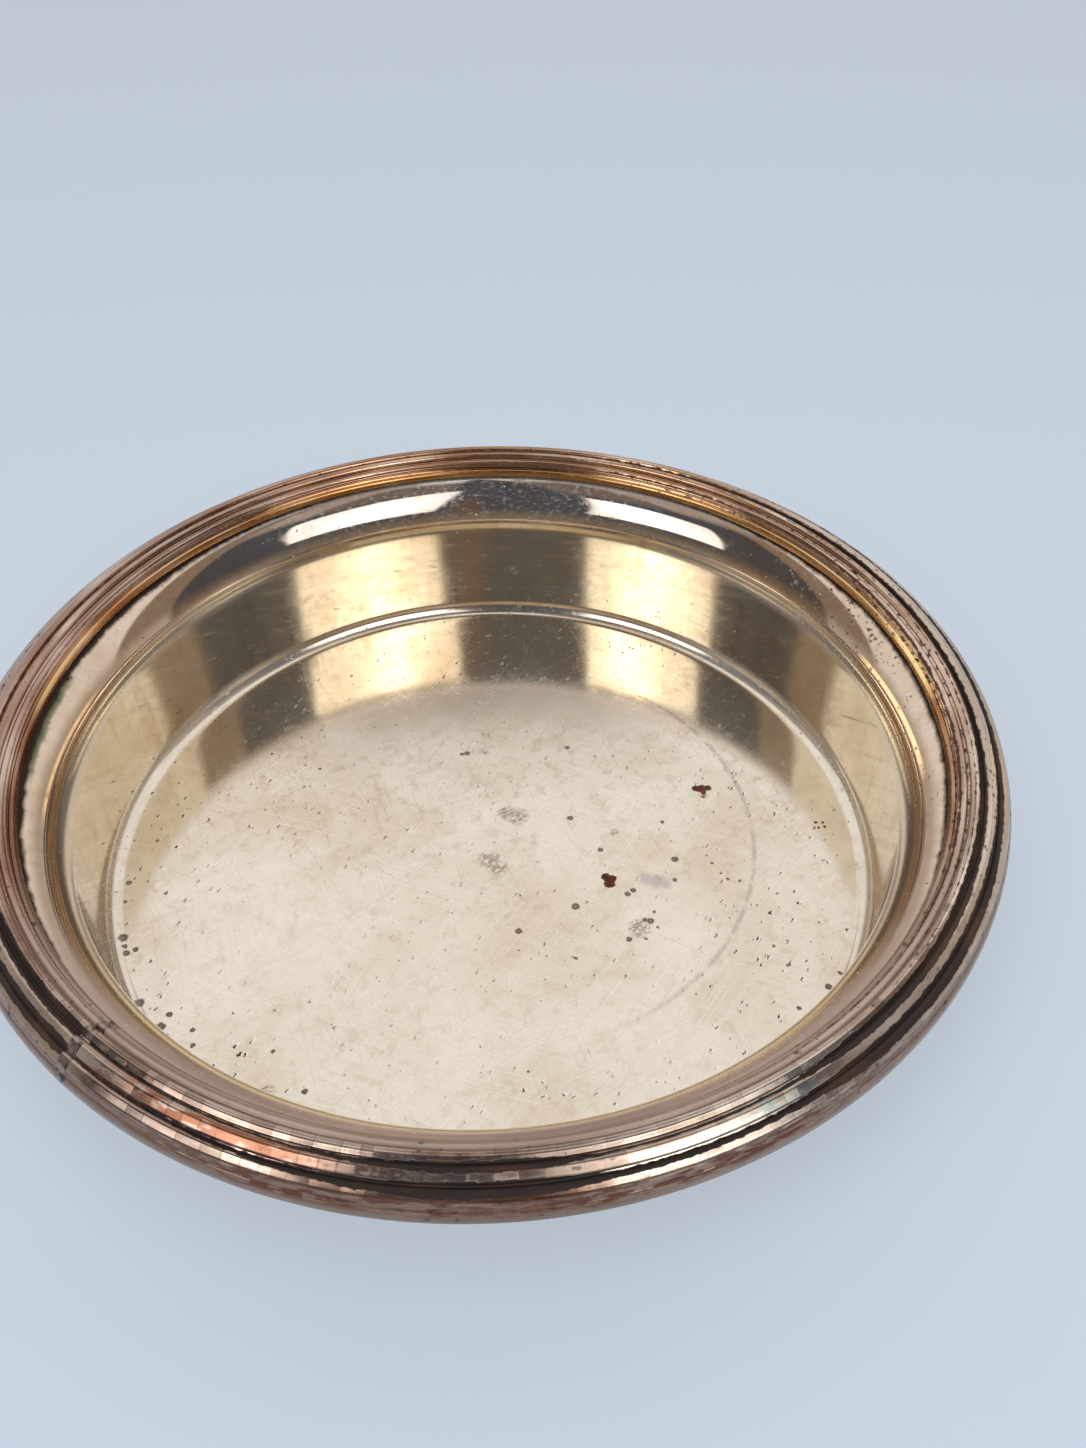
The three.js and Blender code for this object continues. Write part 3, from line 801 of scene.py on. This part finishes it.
    # fine lines from drawing the strip, under the tipped facets
    drawn = product(cloud(stretch(lane, (40, 40, 0.16)), 1.0, 1.0), 0.05)
    low = calc("MULTIPLY_ADD", tip, look.facetTip, calc("MULTIPLY_ADD", spots, 0.02, drawn))
    finishSurface(shader, shine, rough, fade(dull, 0.0, 1.0, look.cleanGloss, look.dullGloss),
                  low, look.bump, look.bumpDepth)
    return material


# the solder of the bed and of the seam: two tones, size of their patches in millimetres, roughness and shine
solderLook = {
    "bed": {"tones": ((0.028, 0.022, 0.018), (0.10, 0.12, 0.08)), "patch": 1.5, "rough": 0.55, "shine": 0.7},
    "seam": {"tones": ((0.36, 0.275, 0.235), (0.05, 0.038, 0.032)), "patch": 1.2, "rough": 0.2, "shine": 0.9},
    "rougher": 0.2, "bump": 0.6, "bumpDepth": 0.2,
}


def dullSolder(name, look):
    material, shader, place = newFinish(name)
    grain = cloud(place, 1 / look["patch"], 4.0, 0.65)
    tree.links.new(tint(fade(grain, 0.42, 0.66), *look["tones"]), shader.inputs["Base Color"])
    rough = fade(grain, 0.3, 0.7, look["rough"], look["rough"] + solderLook["rougher"])
    shader.inputs["Metallic"].default_value = look["shine"]
    finishSurface(shader, None, rough, None, grain, solderLook["bump"], solderLook["bumpDepth"])
    return material


section, marks = dishSection()
dish = turnedPiece("dishShell", section, False, marks, {
    "Path Radius": dishSizes["floorRadius"] * mm, "Points Around": dishSizes["around"],
    "Unevenness": dishSizes["unevenness"] * mm, "Uneven Size": 1000.0 / dishSizes["unevenSize"],
    "Seed": dishSizes["seed"]}, wornPlate())

borderFinish = tarnishedBorder()
section, marks = borderSection()
gapAngle = borderSizes["seamGap"] / borderCentre[0]
seamAngle = borderSizes["seamWidth"] / borderCentre[0]
seamTurn = math.radians(borderSizes["seamAzimuth"])
ringValues = {"Path Radius": borderCentre[0] * mm, "Open Ring": True, "Unevenness": borderSizes["unevenness"] * mm,
              "Uneven Size": borderSizes["unevenSize"], "Seed": borderSizes["seed"]}
border = turnedPiece("reededStrip", section, True, marks, {
    **ringValues, "Points Around": borderSizes["around"], "Start Angle": seamTurn + gapAngle / 2,
    "Sweep Angle": 2 * math.pi - gapAngle}, borderFinish)
seam = turnedPiece("stripSeam", section, True, marks, {
    **ringValues, "Points Around": borderSizes["seamPoints"], "Start Angle": seamTurn - seamAngle / 2,
    "Sweep Angle": seamAngle}, dullSolder("seamSolder", solderLook["seam"]))
section, marks = solderSection()
solder = turnedPiece("solderBed", section, True, marks, {
    "Path Radius": borderCentre[0] * mm, "Points Around": solderSizes["around"]},
    dullSolder("darkSolder", solderLook["bed"]))

for piece, node, slot in ((dish, "dish", "worn_plate"), (border, "reeded_border", "tarnished_border"),
                          (seam, "border_joint", "seam_solder"), (solder, "rim_solder", "dark_solder")):
    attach(piece, "root")
    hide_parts(node)
print("pieces dressed")


stageLook = {"floorColour": (0.50, 0.57, 0.66), "rough": 0.7, "glow": (0.53, 0.605, 0.70), "glowShare": 0.45,
             "size": 4.0}
tableMesh = bpy.data.meshes.new("tableTop")
reach = stageLook["size"] / 2
tableMesh.from_pydata([(-reach, -reach, 0), (reach, -reach, 0), (reach, reach, 0), (-reach, reach, 0)], [],
                      [(0, 1, 2, 3)])
table = addObject("tableTop", tableMesh)
tableFinish = bpy.data.materials.new("paleTable")
tableFinish.use_nodes = True
workOn(tableFinish.node_tree)
tableShader = tree.nodes["Principled BSDF"]
tableShader.inputs["Base Color"].default_value = (*stageLook["floorColour"], 1)
tableShader.inputs["Roughness"].default_value = stageLook["rough"]
# a plain pale table to the camera and in the metal that still keeps the shadow
seenBy = addNode("ShaderNodeLightPath").outputs
seen = mostOf([seenBy[way] for way in ("Is Camera Ray", "Is Glossy Ray", "Is Transmission Ray")])
seenShare = product(seen, stageLook["glowShare"])
glow = addNode("ShaderNodeEmission", {"Color": (*stageLook["glow"], 1)})
mixed = addNode("ShaderNodeMixShader", {0: seenShare, 1: tableShader.outputs[0], 2: glow.outputs[0]})
tree.links.new(mixed.outputs[0], tree.nodes["Material Output"].inputs[0])
tableMesh.materials.append(tableFinish)
print("table set")

studioLook = {
    "pale": (0.98, 0.97, 0.96), "side": (0.30, 0.235, 0.185), "dark": (0.055, 0.061, 0.078),
    "brown": (0.21, 0.165, 0.14), "low": (0.22, 0.17, 0.115), "lowBack": (0.55, 0.49, 0.44),
    "rosy": (0.52, 0.43, 0.37), "warm": (0.12, 0.072, 0.05), "beam": (0.30, 0.265, 0.225),
    "backdrop": (0.62, 0.69, 0.77), "windowTone": (1.0, 0.98, 0.95),
    # spans in degrees round the horizon, with the softness of their ends
    "brownSpan": (151, 360, 2.0), "sideSpans": ((151, 168, 1.5), (-4, 16, 1.5)), "darkSpan": (168, 357, 1.5),
    "rosySpans": ((151, 194, 3.0), (331, 360, 3.0)), "gapSpan": (238, 279, 2.0), "warmSpan": (268, 277, 2.0),
    "beamSpan": (80, 100, 3.0), "beamRise": (34, 43.5, 1.0),
    # heights in degrees between which each part ends
    "darkTop": (58, 66), "brownTop": (79, 87), "warmTop": (44, 52), "lowTop": (6, 28), "lowBackTop": (8, 26),
    # low lights behind: span, height, colour
    "lowLights": (((126, 155, 3.0), (2.0, 10.0, 1.0), (2.0, 1.7, 1.15)),
                  ((25, 54, 3.0), (2.0, 8.0, 1.0), (1.3, 1.1, 0.75))),
    # each window: its two sides and how far each leans with height, its foot, its top and the slope of that, its core
    "windows": (((199, -0.25), (238, -0.2), 25.5, 55, 0.17, 219), ((281, -0.18), (323, 0.3), 26, 60, -0.16, 300)),
    "windowLevel": 29.0, "windowEdge": 0.8, "windowStrength": 1.75, "windowCore": 3.0, "coreRise": 40,
    "coreSize": (10, 15),
    "fillSize": 0.7, "fillPlace": (0.0, -0.40, 0.65), "fillPower": 4.5,
}


def studioWorld():
    # a pale room behind, a darker one with two windows on the camera's side
    world = bpy.data.worlds.new("studio")
    bpy.context.scene.world = world
    world.use_nodes = True
    workOn(world.node_tree)
    tree.nodes.clear()
    look = SimpleNamespace(**studioLook)
    way = addNode("ShaderNodeSeparateXYZ", {0: addNode("ShaderNodeTexCoord").outputs["Generated"]})
    turn = turnOf(way.outputs[0], way.outputs[1])
    rise = product(calc("ARCSINE", way.outputs[2]), 180 / math.pi)
    # the same turn without a break at 0 degrees
    wide = calc("SUBTRACT", calc("FLOORED_MODULO", calc("ADD", turn, 90.0), 360.0), 90.0)

    def upTo(top):
        return fade(rise, *top, 1.0, 0.0)

    below = upTo(look.brownTop)
    colour = tint(product(spanOf(turn, *look.brownSpan), below), look.pale, look.brown)
    for span in look.sideSpans:
        side = calc("MAXIMUM", spanOf(wide, *span), spanOf(turn, *span))
        colour = tint(product(side, below), colour, look.side)
    front = spanOf(turn, *look.darkSpan)
    colour = tint(product(front, upTo(look.darkTop)), colour, look.dark)
    upper = product(below, fade(rise, *look.darkTop))
    for span in look.rosySpans:
        colour = tint(product(spanOf(turn, *span), upper), colour, look.rosy)
    layers = [
        (spanOf(turn, *look.gapSpan), look.dark),
        (product(spanOf(turn, *look.warmSpan), upTo(look.warmTop)), look.warm),
        (product(front, upTo(look.lowTop)), look.low),
        (product(calc("SUBTRACT", 1.0, front), upTo(look.lowBackTop)), look.lowBack),
    ]
    for span, heights, shown in ((look.beamSpan, look.beamRise, look.beam), *look.lowLights):
        layers.append((product(spanOf(turn, *span), spanOf(rise, *heights)), shown))
    for mask, shown in layers:
        colour = tint(mask, colour, shown)

    raised = calc("SUBTRACT", rise, look.windowLevel)
    soft = look.windowEdge
    for (low, lowLean), (high, highLean), foot, top, slope, coreTurn in look.windows:
        left = calc("SUBTRACT", turn, calc("MULTIPLY_ADD", raised, lowLean, low))
        right = calc("SUBTRACT", turn, calc("MULTIPLY_ADD", raised, highLean, high))
        roof = calc("MULTIPLY_ADD", calc("SUBTRACT", turn, (low + high) / 2), -slope, rise)
        pane = product(fade(left, -soft, soft), fade(right, -soft, soft, 1.0, 0.0),
                       fade(rise, foot - soft, foot + soft), fade(roof, top - soft, top + soft, 1.0, 0.0))
        # brightest at one place, falling off to the frame
        away = []
        for value, middle, size in zip((turn, rise), (coreTurn, look.coreRise), look.coreSize):
            offset = product(calc("SUBTRACT", value, middle), 1 / size)
            away.append(calc("POWER", offset, 2.0))
        core = calc("EXPONENT", product(calc("ADD", *away), -1.0))
        strength = calc("MULTIPLY_ADD", core, look.windowCore, look.windowStrength)
        bright = vectorCalc("SCALE", look.windowTone)
        tree.links.new(strength, bright.inputs["Scale"])
        colour = tint(pane, colour, bright.outputs[0])
    shownToCamera = addNode("ShaderNodeLightPath").outputs["Is Camera Ray"]
    colour = tint(shownToCamera, colour, look.backdrop)
    light = addNode("ShaderNodeBackground", {"Color": colour})
    tree.links.new(light.outputs[0], addNode("ShaderNodeOutputWorld").inputs[0])


studioWorld()
fill = addObject("fillLamp", bpy.data.lights.new("fillLamp", "AREA"))
fill.location = studioLook["fillPlace"]
fill.rotation_euler = Vector(studioLook["fillPlace"]).to_track_quat("Z", "Y").to_euler()
fill.data.size = studioLook["fillSize"]
fill.data.energy = studioLook["fillPower"]
fill.visible_glossy = False
print("studio lit")

cameraLook = {"place": (0.0, -0.13001, 0.14994), "turn": (46.2796, 0.3135, -3.7692), "lens": 32.585, "sensor": 36.0,
              "nearest": 0.01}
camera = addObject("camera", bpy.data.cameras.new("camera"))
camera.location = cameraLook["place"]
camera.rotation_euler = [math.radians(a) for a in cameraLook["turn"]]
camera.data.lens = cameraLook["lens"]
camera.data.sensor_width = cameraLook["sensor"]
camera.data.clip_start = cameraLook["nearest"]
bpy.context.scene.camera = camera
bpy.context.scene.view_settings.view_transform = "Standard"
print("camera placed")
